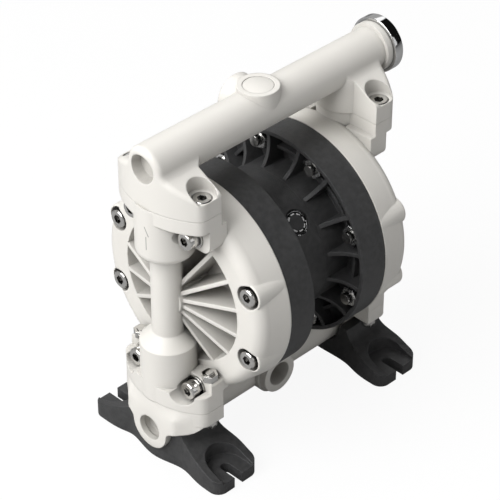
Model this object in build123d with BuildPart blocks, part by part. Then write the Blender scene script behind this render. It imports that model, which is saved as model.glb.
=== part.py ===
from build123d import *
import os
from math import cos, radians, sin, sqrt

os.makedirs("parts", exist_ok=True)

# Air operated double diaphragm pump, in millimetres.
# X is the shaft axis, +Z is up and Z = 0 is the floor under the feet.
# Every paired piece is drawn on the +X side and mirrored for the -X side.

# Chain of sizes along the shaft, from the middle of the pump outward
block_half_width = 12.0
air_cover_depth = 34.0
cover_depth = 26.5
column_offset = 12.8

# Chain of heights, from the floor upward
suction_height = 26.5
suction_seam_rise = 25.5
lower_bolt_rise = 14.638
upper_bolt_drop = 20.138
discharge_rise = 29.2

# General clearances
running_clearance = 0.05
seat_clearance = 0.05
washer_clearance = 0.2
thread_clearance = 0.05
pocket_clearance = 0.3
end_gap = 0.3
overlap = 1.0
near = 0.01

# Bolts between the fluid cover and the air cover
bolt_count = 8
cover_bolt_diameter = 8.0
cover_bolt_hole = 8.5
cap_head_diameter = 13.0
cap_head_height = 8.0
cap_socket = 6.0
cap_socket_depth = 4.0
cap_head_chamfer = 0.7
washer_diameter = 16.0
washer_thickness = 1.6
nut_width = 13.0
nut_height = 6.8
thread_end = 4.0
nut_washer_diameter = 15.0
face_bolt_depth = 17.2
lug_bolt_inset = 1.9
face_bolt_pocket = 17.4

# Fluid cover
cover_edge_radius = 77.4
cover_draft = 2.2
cover_shoulder_depth = 17.0
face_draft = 0.5
bolt_edge_margin = 9.9
cover_corner = 9.0
bolt_ledge = 14.0
dish_draft = 2.0
dish_floor_depth = 10.5
cover_wall = 5.0
chamber_margin = 0.5
chamber_taper = 6.0
rebate_margin = 6.3
rebate_depth = 1.5
boss_margin = 1.3
face_boss_rise = 7.3
face_boss_round = 1.2
hub_radius = 13.0
hub_bore = 9.0
rib_count = 16
rib_thickness = 3.0
rib_column_sink = 1.3

# Column on the fluid cover
tube_radius = 11.0
tube_bore = 8.0
lower_collar_radius = 19.8
lower_collar_height = 42.5
cone_height = 8.5
upper_collar_radius = 20.5
upper_collar_height = 43.5
upper_collar_round = 6.0

# Column flanges and the manifold flanges that meet them
flange_inboard = 12.8
flange_side = 4.2
flange_end = 19.1
tube_end_step = 0.6
flange_bolt_margin = 14.17
flange_corner = 8.0
lower_flange_thickness = 14.0
upper_flange_thickness = 10.5
lug_bolt_margin = 9.33
lug_sink = 4.5
lug_round = 7.0
lug_depth = 9.3
lower_lug_round = 2.0

# Vertical flange bolts
upper_bolt_inboard = 2.6
upper_bolt_side = 6.57
upper_flange_grip = 4.9
upper_bolt_reach = 11.2
lower_bolt_inboard = 5.8
lower_bolt_side = 8.17
lower_bolt_diameter = 6.0
lower_bolt_hole = 6.6
lower_head_diameter = 10.0
lower_head_height = 6.0
lower_head_socket = 5.0
lower_nut_width = 10.0
lower_nut_height = 5.2
lower_nut_gap = 0.1
lower_thread_end = 0.8

# Ball valves
ball_radius = 10.5
ball_lift = 6.0
cage_radius = 11.2
cage_channel_radius = 3.5
cage_channel_circle = 10.5
cage_channels = 4
cage_channel_rise = 8.0
seat_pocket_radius = 17.0
seat_fit = 0.1
seat_thickness = 6.0
seal_inner_radius = 12.5
seal_outer_radius = 15.0
seal_thickness = 1.6
discharge_seat_rise = 5.0

# Manifolds
discharge_tube_radius = 15.3
suction_tube_radius = 14.7
manifold_bore = 8.5
elbow_mouth_radius = 14.2
elbow_mouth_depth = 6.0
elbow_run_past = 5.0
elbow_edge_rise = 14.0
elbow_sink = 1.0
elbow_blend = 7.0
elbow_rim_round = 4.0
elbow_neck_margin = 2.1
pocket_diameter = 19.4
inner_pocket_diameter = 14.0
end_recess_diameter = 20.6
end_recess_depth = 9.0
top_boss_radius = 14.6
top_boss_rise = 17.3
top_boss_recess_radius = 10.7
top_boss_recess_depth = 6.0
rear_boss_radius = 16.0
rear_boss_reach = 22.0
suction_flange_thickness = 11.5
suction_elbow_radius = 16.0
suction_elbow_inset = 0.8
elbow_flare = 6.0
tee_radius = 16.8
tee_reach = 17.0
port_thread_bore = 18.6
port_depth = 13.0
suction_port_radius = 14.6
suction_port_reach = 22.0
discharge_barrel_radius = 18.0
discharge_barrel_step = 2.5
discharge_barrel_length = 12.5
ring_wall = 4.0
ring_inner_radius = 16.4
ring_width = 7.5
ring_edge_round = 0.6

# Feet
foot_inner_reach = 23.3
foot_waist_step = 4.0
foot_side_reach = 16.2
foot_waist_inset = 3.1
foot_belly = 1.1
foot_waist_y = 25.0
foot_half_length = 64.0
foot_straight_y = 50.0
foot_end_height = 10.2
foot_flank_y = 43.0
foot_flank_height = 17.5
foot_crest_y = 25.0
foot_crest_rise = 3.5
foot_corner = 8.0
foot_pad = 8.4
slot_inboard = 3.3
slot_width = 7.4
slot_end_y = 47.5
slot_face_radius = 14.0
foot_saddle_gap = 0.1
foot_screw_spacing = 14.0
foot_screw_inboard = 1.3
foot_screw_diameter = 5.0
foot_screw_hole = 5.5
foot_screw_head_diameter = 8.5
foot_screw_head_height = 5.0
foot_screw_recess = 5.6
foot_screw_grip = 4.6

# Air covers and centre block
air_rim_step = 0.6
air_rim_wall = 2.8
nut_pocket_margin = 0.2
air_rim_depth = 22.7
air_floor_depth = 12.0
block_margin = 14.5
air_rib_thickness = 3.0
air_rib_hollow = 3.0
air_rib_inset = 0.5
ridge_margin = 6.0
ridge_wall = 2.5
ridge_height = 5.0
air_wall = 8.0
air_chamber_taper = 9.0
tie_screw_circle = 34.0
tie_screw_count = 4
tie_screw_diameter = 5.0
tie_screw_grip = 8.5
tie_head_diameter = 8.5
tie_head_height = 5.0
tie_socket = 4.0

# Diaphragms and shaft
shaft_radius = 7.0
shaft_bore_gap = 0.6
stud_radius = 4.0
stud_length = 12.0
bush_radius = 9.5
bush_length = 7.0
shaft_seal_radius = 9.0
shaft_seal_length = 2.4
diaphragm_thickness = 3.0
diaphragm_set_back = 10.5
diaphragm_rim_gap = 0.2
plate_radius = 28.0
plate_edge_round = 1.2
air_plate_thickness = 4.5
fluid_plate_thickness = 3.0
fluid_plate_hub_radius = 12.0
fluid_plate_hub_height = 4.0

# Air valve behind the round plug
valve_angle = 45.0
sleeve_radius = 7.5
sleeve_start = 17.0
sleeve_end_gap = 2.8
spool_radius = 5.0
spool_waist = 3.2
spool_inner_room = 2.0
spool_outer_room = 1.0
spool_travel = 5.0
spool_land = 4.0
plug_bore_radius = 9.4
plug_depth = 7.2
plug_thickness = 4.8
plug_crown_radius = 6.6
plug_crown_height = 1.4
plug_groove_depth = 1.5
plug_groove_width = 1.6
retaining_ring_wall = 1.7
retaining_ring_thickness = 1.2
retaining_ring_gap = 3.0

# Air ports on the hidden side
inlet_angle = -45.0
inlet_bore = 11.8
inlet_depth = 14.0
port_face_depth = 1.4
port_face_radius = 11.0
exhaust_angle = -105.0
exhaust_bore = 13.0
exhaust_depth = 10.0
muffler_spigot = 9.0
muffler_radius = 11.0
muffler_length = 18.0
muffler_hex = 17.0
muffler_hex_length = 5.0

# Sizes that follow: along the shaft
cover_seam = block_half_width + air_cover_depth
cover_shoulder_x = cover_seam + cover_shoulder_depth
cover_face_x = cover_seam + cover_depth
column_x = cover_face_x + column_offset
dish_floor_x = cover_seam + dish_floor_depth
chamber_x = dish_floor_x - cover_wall
face_bolt_seat = cover_seam + face_bolt_depth
lug_bolt_seat = column_x - lug_bolt_inset
lug_start_x = cover_face_x - lug_sink
rib_top_x = column_x - rib_column_sink
flange_inboard_x = column_x - flange_inboard
flange_side_x = column_x + flange_side
flange_end_x = column_x + flange_end
tube_end_x = flange_end_x + tube_end_step
suction_elbow_x = flange_end_x - suction_elbow_inset
discharge_barrel_x = tube_end_x + discharge_barrel_step
discharge_port_x = discharge_barrel_x + discharge_barrel_length
air_rim_x = cover_seam - air_rim_depth
air_floor_x = cover_seam - air_floor_depth
ridge_x = air_floor_x - ridge_height
air_chamber_x = block_half_width + air_wall
nut_seat = air_floor_x - washer_thickness
cover_bolt_end = nut_seat - nut_height - thread_end
diaphragm_centre_x = cover_seam - diaphragm_set_back
shaft_shoulder_x = diaphragm_centre_x - diaphragm_thickness / 2 - air_plate_thickness

# Sizes that follow: round the shaft
bolt_circle_radius = cover_edge_radius - bolt_edge_margin
cover_shoulder_radius = cover_edge_radius - cover_draft
dish_radius = bolt_circle_radius - bolt_ledge
dish_floor_radius = dish_radius - dish_draft
chamber_radius = dish_radius + chamber_margin
rebate_radius = bolt_circle_radius - rebate_margin
diaphragm_rim_radius = rebate_radius - diaphragm_rim_gap
air_rim_radius = cover_edge_radius - air_rim_step
air_rim_inner_radius = air_rim_radius - air_rim_wall
air_chamber_radius = chamber_radius - air_chamber_taper
block_radius = bolt_circle_radius - block_margin
ridge_inner_radius = bolt_circle_radius - ridge_margin
port_face = block_radius - port_face_depth
plug_seat = block_radius - plug_depth
plug_groove_radius = plug_bore_radius - plug_groove_depth
sleeve_length = plug_seat - sleeve_end_gap - sleeve_start
spool_start = sleeve_start + spool_inner_room
spool_length = sleeve_length - spool_inner_room - spool_travel - spool_outer_room
bolt_step = 360 / bolt_count
first_bolt = bolt_step / 2
lug_y = bolt_circle_radius * sin(radians(first_bolt))
lug_z = bolt_circle_radius * cos(radians(first_bolt))
lug_inner_y = lug_y - lug_bolt_margin
flange_half_width = lug_y + flange_bolt_margin

# Sizes that follow: heights, and what stands on the column
lower_seam = suction_height + suction_seam_rise
shaft_height = lower_seam + lower_bolt_rise + lug_z
upper_seam = shaft_height + lug_z + upper_bolt_drop
discharge_height = upper_seam + discharge_rise
top_boss_height = discharge_height + top_boss_rise
lower_flange_top = lower_seam + lower_flange_thickness
lower_collar_top = lower_seam + lower_collar_height
cone_top = lower_collar_top + cone_height
upper_collar_bottom = upper_seam - upper_collar_height
upper_flange_bottom = upper_seam - upper_flange_thickness
upper_lug_bottom = shaft_height + lug_z - lug_depth
lower_nut_seat = shaft_height - lug_z + washer_diameter / 2 + lower_nut_gap
discharge_seat_bottom = upper_collar_bottom + discharge_seat_rise
suction_seat_top = lower_seam + seat_thickness
discharge_seat_top = discharge_seat_bottom + seat_thickness
ball_rise = sqrt(ball_radius**2 - tube_bore**2) + seat_clearance
cage_height = ball_rise + ball_lift + ball_rise
suction_ball_height = suction_seat_top + ball_rise
upper_bolt_x = column_x - upper_bolt_inboard
upper_bolt_y = lug_y + upper_bolt_side
upper_head_seat = upper_seam + upper_flange_grip
upper_bolt_end = upper_seam - upper_bolt_reach
pocket_floor = upper_head_seat + cap_head_height
lower_bolt_x = column_x - lower_bolt_inboard
lower_bolt_y = lug_y + lower_bolt_side
suction_flange_bottom = lower_seam - suction_flange_thickness
elbow_bottom = suction_height - suction_elbow_radius
elbow_neck_radius = upper_collar_radius + elbow_neck_margin
foot_crest_height = suction_height + foot_crest_rise
foot_inner_x = column_x - foot_inner_reach
foot_inner_waist_x = foot_inner_x + foot_waist_step
foot_side_x = column_x + foot_side_reach
foot_waist_x = foot_side_x - foot_waist_inset
foot_outer_x = foot_side_x + foot_belly
foot_screw_x = column_x - foot_screw_inboard
slot_x = column_x - slot_inboard
elbow_edge = upper_seam + elbow_edge_rise
shoulder_top_y = discharge_tube_radius - 2 * elbow_sink
ring_outer_radius = ring_inner_radius + ring_wall

# Axes and planes
shaft_centre = (0, 0, shaft_height)
shaft_axis = Axis(shaft_centre, (1, 0, 0))
axial_plane = Plane(origin=shaft_centre, x_dir=(1, 0, 0), z_dir=(0, -1, 0))
column_axis = Axis((column_x, 0, 0), (0, 0, 1))
column_plane = Plane(origin=(column_x, 0, 0), x_dir=(1, 0, 0), z_dir=(0, -1, 0))
upper_bolt_places = [(end * upper_bolt_x, side * upper_bolt_y) for end in (-1, 1) for side in (-1, 1)]
lower_bolt_places = [(end * lower_bolt_x, side * lower_bolt_y) for end in (-1, 1) for side in (-1, 1)]


def axial(x):
    """Plane across the shaft axis at x, with local x along world Y."""
    return Plane(origin=(x, 0, shaft_height), x_dir=(0, 1, 0), z_dir=(1, 0, 0))


def bolt_places():
    """The eight bolt places of a cover in an axial plane."""
    return PolarLocations(bolt_circle_radius, bolt_count, start_angle=first_bolt)


def lug_places():
    """The four bolt places beside the column, above and below."""
    return [(side * lug_y, level * lug_z) for side in (-1, 1) for level in (-1, 1)]


def face_places():
    """The four bolt places on the face of the cover."""
    return [(side * lug_z, level * lug_y) for side in (-1, 1) for level in (-1, 1)]


def spoke_plane(number):
    """Plane of one rib of a cover, with local x along world X and local y outward."""
    turn = radians((number + 0.5) * 360 / rib_count)
    return Plane(origin=shaft_centre, x_dir=(1, 0, 0), z_dir=(0, -cos(turn), -sin(turn)))


def radial(angle, distance):
    """Plane across a line leaving the shaft axis at an angle from +Z toward -Y."""
    turn = radians(angle)
    outward = Vector(0, -sin(turn), cos(turn))
    return Plane(origin=Vector(*shaft_centre) + outward * distance, x_dir=(1, 0, 0), z_dir=outward)


def flange_outline():
    """Outline shared by the column flanges and the manifold flanges."""
    with BuildSketch(mode=Mode.PRIVATE) as outline:
        with BuildLine():
            Polyline(
                (flange_side_x, -flange_half_width),
                (flange_inboard_x, -flange_half_width),
                (flange_inboard_x, flange_half_width),
                (flange_side_x, flange_half_width),
            )
            ThreePointArc(
                (flange_side_x, flange_half_width),
                (flange_end_x, 0),
                (flange_side_x, -flange_half_width),
            )
        make_face()
        corners = outline.vertices().filter_by(lambda v: abs(v.X - flange_side_x) < near)
        fillet(corners, flange_corner)
    return outline.sketch


def save(solid, name):
    """Write one piece."""
    solid.label = name
    export_step(solid, f"parts/{name}.step")


def save_pair(solid, name):
    """Write a piece of the +X side and its mirror image on the -X side."""
    save(solid, f"{name}_right")
    save(mirror(solid, about=Plane.YZ), f"{name}_left")


# Bosses round the four bolts on the face of a fluid cover
with BuildPart() as face_bosses:
    with BuildSketch(axial(cover_seam)):
        with Locations(*face_places()):
            Circle(face_bolt_pocket / 2 + boss_margin)
    extrude(amount=face_bolt_seat + face_boss_rise - cover_seam)
    fillet(face_bosses.edges().group_by(Axis.X)[-1], face_boss_round)

# Fluid cover: dished and ribbed chamber wall, with the valve column moulded on
with BuildPart() as fluid_cover:
    with BuildSketch(axial_plane) as cover_section:
        with BuildLine():
            Polyline(
                (cover_seam, 0),
                (cover_seam, cover_edge_radius),
                (cover_shoulder_x, cover_shoulder_radius),
                (cover_face_x, cover_shoulder_radius - face_draft),
                (cover_face_x, dish_radius),
                (dish_floor_x, dish_floor_radius),
                (dish_floor_x, 0),
                close=True,
            )
        make_face()
        rim_corner = cover_section.vertices().sort_by(lambda v: v.X + v.Y)[-1:]
        fillet(rim_corner, cover_corner)
    revolve(axis=shaft_axis)
    add(face_bosses.part)
    with BuildSketch(axial(chamber_x)):
        Circle(hub_radius)
    extrude(amount=column_x - chamber_x)
    for number in range(rib_count):
        with BuildSketch(spoke_plane(number)):
            Polygon(
                (dish_floor_x - overlap, hub_bore),
                (rib_top_x, hub_bore),
                (cover_face_x, dish_radius + overlap),
                (dish_floor_x - overlap, dish_radius),
                align=None,
            )
        extrude(amount=rib_thickness / 2, both=True)
    with BuildSketch(column_plane) as column_section:
        with BuildLine():
            Polyline(
                (0, lower_seam),
                (lower_collar_radius, lower_seam),
                (lower_collar_radius, lower_collar_top),
                (tube_radius, cone_top),
                (tube_radius, upper_collar_bottom),
                (upper_collar_radius, upper_collar_bottom),
                (upper_collar_radius, upper_seam),
                (0, upper_seam),
                close=True,
            )
        make_face()
        collar_corner = column_section.vertices().filter_by(
            lambda v: abs(v.Y - upper_collar_bottom) < near and v.X > upper_collar_radius - near
        )
        fillet(collar_corner, upper_collar_round)
    revolve(axis=column_axis)
    with BuildSketch(Plane.XY.offset(lower_seam)):
        add(flange_outline())
    extrude(amount=lower_flange_top - lower_seam)
    with BuildSketch(Plane.XY.offset(upper_flange_bottom)):
        add(flange_outline())
    extrude(amount=upper_seam - upper_flange_bottom)
    for side in (-1, 1):
        with BuildSketch(Plane.YZ.offset(lug_start_x)) as lug_section:
            with Locations((side * (lug_inner_y + flange_half_width) / 2, upper_flange_bottom + overlap)):
                Rectangle(
                    flange_half_width - lug_inner_y,
                    upper_flange_bottom + overlap - upper_lug_bottom,
                    align=(Align.CENTER, Align.MAX),
                )
            fillet(lug_section.vertices().group_by(Axis.Y)[0], lug_round)
        extrude(amount=lug_bolt_seat - lug_start_x)
        with BuildSketch(Plane.YZ.offset(lug_start_x)) as lower_lug_section:
            with Locations((side * (lug_inner_y + flange_half_width) / 2, lower_flange_top - overlap)):
                Rectangle(
                    flange_half_width - lug_inner_y,
                    lower_nut_seat - lower_flange_top + overlap,
                    align=(Align.CENTER, Align.MIN),
                )
            fillet(lower_lug_section.vertices().group_by(Axis.Y)[-1], lower_lug_round)
        extrude(amount=lug_bolt_seat - lug_start_x)
    # chamber, with the rebate for the rim of the diaphragm
    with BuildSketch(axial_plane):
        Polygon(
            (cover_seam - overlap, 0),
            (cover_seam - overlap, rebate_radius),
            (cover_seam + rebate_depth, rebate_radius),
            (cover_seam + rebate_depth, chamber_radius),
            (chamber_x, chamber_radius - chamber_taper),
            (chamber_x, 0),
            align=None,
        )
    revolve(axis=shaft_axis, mode=Mode.SUBTRACT)
    with BuildSketch(axial(chamber_x - overlap)):
        Circle(hub_bore)
    extrude(amount=column_x - chamber_x + overlap, mode=Mode.SUBTRACT)
    # bore of the column, seat pockets and the cage of the suction ball
    with BuildSketch(Plane.XY.offset(lower_seam)):
        with Locations((column_x, 0)):
            Circle(tube_bore)
    extrude(amount=upper_seam - lower_seam, mode=Mode.SUBTRACT)
    with BuildSketch(Plane.XY.offset(lower_seam)):
        with Locations((column_x, 0)):
            Circle(seat_pocket_radius)
    extrude(amount=seat_thickness, mode=Mode.SUBTRACT)
    with BuildSketch(Plane.XY.offset(suction_seat_top)):
        with Locations((column_x, 0)):
            Circle(cage_radius)
    extrude(amount=cage_height, mode=Mode.SUBTRACT)
    with BuildSketch(Plane.XY.offset(suction_seat_top)):
        with Locations((column_x, 0)):
            with PolarLocations(cage_channel_circle, cage_channels, start_angle=45):
                Circle(cage_channel_radius)
    extrude(amount=cage_height + cage_channel_rise, mode=Mode.SUBTRACT)
    with BuildSketch(Plane.XY.offset(discharge_seat_bottom)):
        with Locations((column_x, 0)):
            Circle(seat_pocket_radius)
    extrude(amount=upper_seam - discharge_seat_bottom, mode=Mode.SUBTRACT)
    # bolt holes and their pockets
    with BuildSketch(axial(cover_seam)):
        with bolt_places():
            Circle(cover_bolt_hole / 2)
    extrude(amount=flange_end_x, mode=Mode.SUBTRACT)
    with BuildSketch(axial(face_bolt_seat)):
        with Locations(*face_places()):
            Circle(face_bolt_pocket / 2)
    extrude(amount=flange_end_x, mode=Mode.SUBTRACT)
    with BuildSketch(axial(lug_bolt_seat)):
        with Locations(*lug_places()):
            Circle(washer_diameter / 2 + pocket_clearance)
    extrude(amount=flange_end_x, mode=Mode.SUBTRACT)
    with BuildSketch(Plane.XY.offset(lower_seam)):
        with Locations((lower_bolt_x, -lower_bolt_y), (lower_bolt_x, lower_bolt_y)):
            Circle(lower_bolt_hole / 2)
    extrude(amount=lower_nut_seat - lower_seam, mode=Mode.SUBTRACT)
    with BuildSketch(Plane.XY.offset(upper_bolt_end)):
        with Locations((upper_bolt_x, -upper_bolt_y), (upper_bolt_x, upper_bolt_y)):
            Circle(cover_bolt_diameter / 2 + thread_clearance)
    extrude(amount=upper_seam - upper_bolt_end, mode=Mode.SUBTRACT)

# Discharge manifold: one moulding, tube with an elbow at each end and a tee in the middle
with BuildPart() as discharge_manifold:
    with BuildSketch(Plane.XY.offset(upper_seam)):
        with Locations((-column_x, 0), (column_x, 0)):
            Circle(elbow_neck_radius)
        Rectangle(2 * flange_side_x, 2 * elbow_neck_radius, mode=Mode.INTERSECT)
        add(flange_outline())
        add(mirror(flange_outline(), about=Plane.YZ))
    extrude(amount=discharge_height + discharge_tube_radius - upper_seam)
    with BuildSketch(Plane.YZ.offset(-tube_end_x)) as elbow_section:
        with Locations((0, discharge_height)):
            Circle(discharge_tube_radius)
        Polygon(
            (-flange_half_width - overlap, upper_seam - overlap),
            (flange_half_width + overlap, upper_seam - overlap),
            (flange_half_width + overlap, elbow_edge),
            (shoulder_top_y, discharge_height - elbow_sink),
            (-shoulder_top_y, discharge_height - elbow_sink),
            (-flange_half_width - overlap, elbow_edge),
            align=None,
        )
        blends = elbow_section.vertices().filter_by(
            lambda v: v.Y > elbow_edge + near and abs(v.X) < discharge_tube_radius + elbow_blend
        )
        fillet(blends, elbow_blend)
    extrude(amount=2 * tube_end_x, mode=Mode.INTERSECT)
    elbow_rims = discharge_manifold.edges().filter_by(
        lambda e: e.geom_type != GeomType.LINE
        and abs(e.center().X) > column_x
        and abs(e.center().Y) < upper_bolt_y
        and e.center().Z > elbow_edge
    )
    fillet(elbow_rims, elbow_rim_round)
    with BuildSketch(Plane.YZ.offset(-column_x)):
        with Locations((0, discharge_height)):
            Circle(discharge_tube_radius)
    extrude(amount=column_x + discharge_barrel_x)
    with BuildSketch(Plane.YZ.offset(discharge_barrel_x)):
        with Locations((0, discharge_height)):
            Circle(discharge_barrel_radius)
    extrude(amount=discharge_port_x - ring_width - discharge_barrel_x)
    with BuildSketch(Plane.YZ.offset(discharge_barrel_x)):
        with Locations((0, discharge_height)):
            Circle(ring_inner_radius - seat_clearance)
    extrude(amount=discharge_port_x - discharge_barrel_x)
    with BuildSketch(Plane.XY.offset(discharge_height)):
        Circle(top_boss_radius)
    extrude(amount=top_boss_height - discharge_height)
    with BuildSketch(Plane.XZ.offset(-rear_boss_reach)):
        with Locations((0, discharge_height)):
            Circle(rear_boss_radius)
    extrude(amount=rear_boss_reach)
    # bores and ports
    with BuildSketch(Plane.YZ.offset(-column_x - elbow_run_past)):
        with Locations((0, discharge_height)):
            Circle(manifold_bore)
    extrude(amount=column_x + elbow_run_past + discharge_port_x - port_depth, mode=Mode.SUBTRACT)
    with BuildSketch(Plane.YZ.offset(discharge_port_x)):
        with Locations((0, discharge_height)):
            Circle(port_thread_bore / 2)
    extrude(amount=-port_depth, mode=Mode.SUBTRACT)
    with BuildSketch(Plane.YZ.offset(-flange_end_x)):
        with Locations((0, discharge_height)):
            Circle(end_recess_diameter / 2)
    extrude(amount=end_recess_depth, mode=Mode.SUBTRACT)
    with BuildSketch(Plane.XY.offset(upper_seam)):
        with Locations((-column_x, 0), (column_x, 0)):
            Circle(tube_bore)
    extrude(amount=discharge_height - upper_seam, mode=Mode.SUBTRACT)
    with BuildSketch(Plane.XY.offset(upper_seam)):
        with Locations((-column_x, 0), (column_x, 0)):
            Circle(elbow_mouth_radius)
    extrude(amount=elbow_mouth_depth, mode=Mode.SUBTRACT)
    with BuildSketch(Plane.XY.offset(top_boss_height)):
        Circle(top_boss_recess_radius)
    extrude(amount=-top_boss_recess_depth, mode=Mode.SUBTRACT)
    with BuildSketch(Plane.XY.offset(upper_seam)):
        with Locations(*upper_bolt_places):
            Circle(cover_bolt_hole / 2)
    extrude(amount=pocket_floor - upper_seam, mode=Mode.SUBTRACT)
    with BuildSketch(Plane.XY.offset(upper_head_seat)):
        with Locations(*upper_bolt_places):
            Circle(inner_pocket_diameter / 2)
    extrude(amount=pocket_floor - upper_head_seat, mode=Mode.SUBTRACT)
    with BuildSketch(Plane.XY.offset(pocket_floor)):
        with Locations(*upper_bolt_places):
            Circle(pocket_diameter / 2)
    extrude(amount=top_boss_height - pocket_floor, mode=Mode.SUBTRACT)

# Stainless ring round the discharge port
with BuildPart() as port_ring:
    with BuildSketch(Plane.YZ.offset(discharge_port_x - ring_width)):
        with Locations((0, discharge_height)):
            Circle(ring_outer_radius)
            Circle(ring_inner_radius, mode=Mode.SUBTRACT)
    extrude(amount=ring_width)
    fillet(port_ring.edges().filter_by(GeomType.CIRCLE).group_by(SortBy.RADIUS)[-1], ring_edge_round)

# Suction manifold: the same tube under the columns, with its port in the middle of the front
with BuildPart() as suction_manifold:
    with BuildSketch(Plane.XY.offset(suction_flange_bottom)):
        add(flange_outline())
        add(mirror(flange_outline(), about=Plane.YZ))
    extrude(amount=lower_seam - suction_flange_bottom)
    with BuildSketch(Plane.YZ.offset(-suction_elbow_x)):
        with Locations((0, suction_height)):
            Circle(suction_elbow_radius)
        Polygon(
            (-suction_elbow_radius, suction_height),
            (suction_elbow_radius, suction_height),
            (suction_elbow_radius + elbow_flare, suction_flange_bottom),
            (-suction_elbow_radius - elbow_flare, suction_flange_bottom),
            align=None,
        )
    extrude(amount=suction_elbow_x - flange_inboard_x)
    mirror(about=Plane.YZ)
    with BuildSketch(Plane.YZ.offset(-tube_end_x)):
        with Locations((0, suction_height)):
            Circle(suction_tube_radius)
    extrude(amount=2 * tube_end_x)
    with BuildSketch(Plane.XZ):
        with Locations((0, suction_height)):
            Circle(tee_radius)
    extrude(amount=tee_reach)
    with BuildSketch(Plane.XZ):
        with Locations((0, suction_height)):
            Circle(suction_port_radius)
    extrude(amount=suction_port_reach)
    with BuildSketch(Plane.YZ.offset(-column_x - elbow_run_past)):
        with Locations((0, suction_height)):
            Circle(manifold_bore)
    extrude(amount=2 * (column_x + elbow_run_past), mode=Mode.SUBTRACT)
    for end in (-1, 1):
        with BuildSketch(Plane.YZ.offset(end * tube_end_x)):
            with Locations((0, suction_height)):
                Circle(end_recess_diameter / 2)
        extrude(amount=-end * end_recess_depth, mode=Mode.SUBTRACT)
    with BuildSketch(Plane.XY.offset(lower_seam)):
        with Locations((-column_x, 0), (column_x, 0)):
            Circle(tube_bore)
    extrude(amount=suction_height - lower_seam, mode=Mode.SUBTRACT)
    with BuildSketch(Plane.XZ):
        with Locations((0, suction_height)):
            Circle(manifold_bore)
    extrude(amount=suction_port_reach, mode=Mode.SUBTRACT)
    with BuildSketch(Plane.XZ.offset(suction_port_reach)):
        with Locations((0, suction_height)):
            Circle(port_thread_bore / 2)
    extrude(amount=-port_depth, mode=Mode.SUBTRACT)
    with BuildSketch(Plane.XY.offset(suction_flange_bottom)):
        with Locations(*lower_bolt_places):
            Circle(lower_bolt_hole / 2)
    extrude(amount=lower_seam - suction_flange_bottom, mode=Mode.SUBTRACT)
    with BuildSketch(Plane.XY):
        for end in (-1, 1):
            with Locations((end * foot_screw_x, 0)):
                with GridLocations(foot_screw_spacing, 1, 2, 1):
                    Circle(foot_screw_diameter / 2 + thread_clearance)
    extrude(amount=elbow_bottom + foot_screw_grip, mode=Mode.SUBTRACT)

save_pair(fluid_cover.part, "fluid_cover")
save(discharge_manifold.part, "discharge_manifold")
save(port_ring.part, "port_ring")
save(suction_manifold.part, "suction_manifold")


# Air cover: black ribbed ring with its hub, one on each side of the centre block
with BuildPart() as air_cover:
    with BuildSketch(axial_plane):
        Polygon(
            (block_half_width, 0),
            (block_half_width, block_radius),
            (air_floor_x, block_radius),
            (air_floor_x, air_rim_inner_radius),
            (air_rim_x, air_rim_inner_radius),
            (air_rim_x, air_rim_radius),
            (cover_seam, air_rim_radius),
            (cover_seam, rebate_radius),
            (cover_seam - rebate_depth, rebate_radius),
            (cover_seam - rebate_depth, chamber_radius),
            (air_chamber_x, air_chamber_radius),
            (air_chamber_x, 0),
            align=None,
        )
    revolve(axis=shaft_axis)
    with BuildSketch(axial(ridge_x)):
        Circle(ridge_inner_radius + ridge_wall)
        Circle(ridge_inner_radius, mode=Mode.SUBTRACT)
    extrude(amount=air_floor_x - ridge_x + rebate_depth)
    rib_middle_x = (air_rim_x + block_half_width) / 2 + air_rib_hollow
    rib_middle_radius = (air_rim_inner_radius + block_radius) / 2 - air_rib_hollow
    for number in range(rib_count):
        with BuildSketch(spoke_plane(number)):
            with BuildLine():
                ThreePointArc(
                    (air_rim_x + air_rib_inset, air_rim_inner_radius + rebate_depth),
                    (rib_middle_x, rib_middle_radius),
                    (block_half_width + air_rib_inset, block_radius - rebate_depth),
                )
                Polyline(
                    (block_half_width + air_rib_inset, block_radius - rebate_depth),
                    (air_floor_x + rebate_depth, block_radius - rebate_depth),
                    (air_floor_x + rebate_depth, air_rim_inner_radius + rebate_depth),
                    (air_rim_x + air_rib_inset, air_rim_inner_radius + rebate_depth),
                )
            make_face()
        extrude(amount=air_rib_thickness / 2, both=True)
    with BuildSketch(axial(air_rim_x)):
        with bolt_places():
            Circle(nut_washer_diameter / 2 + nut_pocket_margin)
    extrude(amount=air_floor_x - air_rim_x, mode=Mode.SUBTRACT)
    with BuildSketch(axial(air_floor_x)):
        with bolt_places():
            Circle(cover_bolt_hole / 2)
    extrude(amount=cover_seam - air_floor_x, mode=Mode.SUBTRACT)
    with BuildSketch(axial(block_half_width)):
        Circle(shaft_radius + shaft_bore_gap)
        with PolarLocations(tie_screw_circle, tie_screw_count):
            Circle(tie_screw_diameter / 2 + washer_clearance)
    extrude(amount=air_chamber_x - block_half_width, mode=Mode.SUBTRACT)
    with BuildSketch(axial(block_half_width)):
        Circle(shaft_seal_radius)
    extrude(amount=shaft_seal_length, mode=Mode.SUBTRACT)

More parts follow.
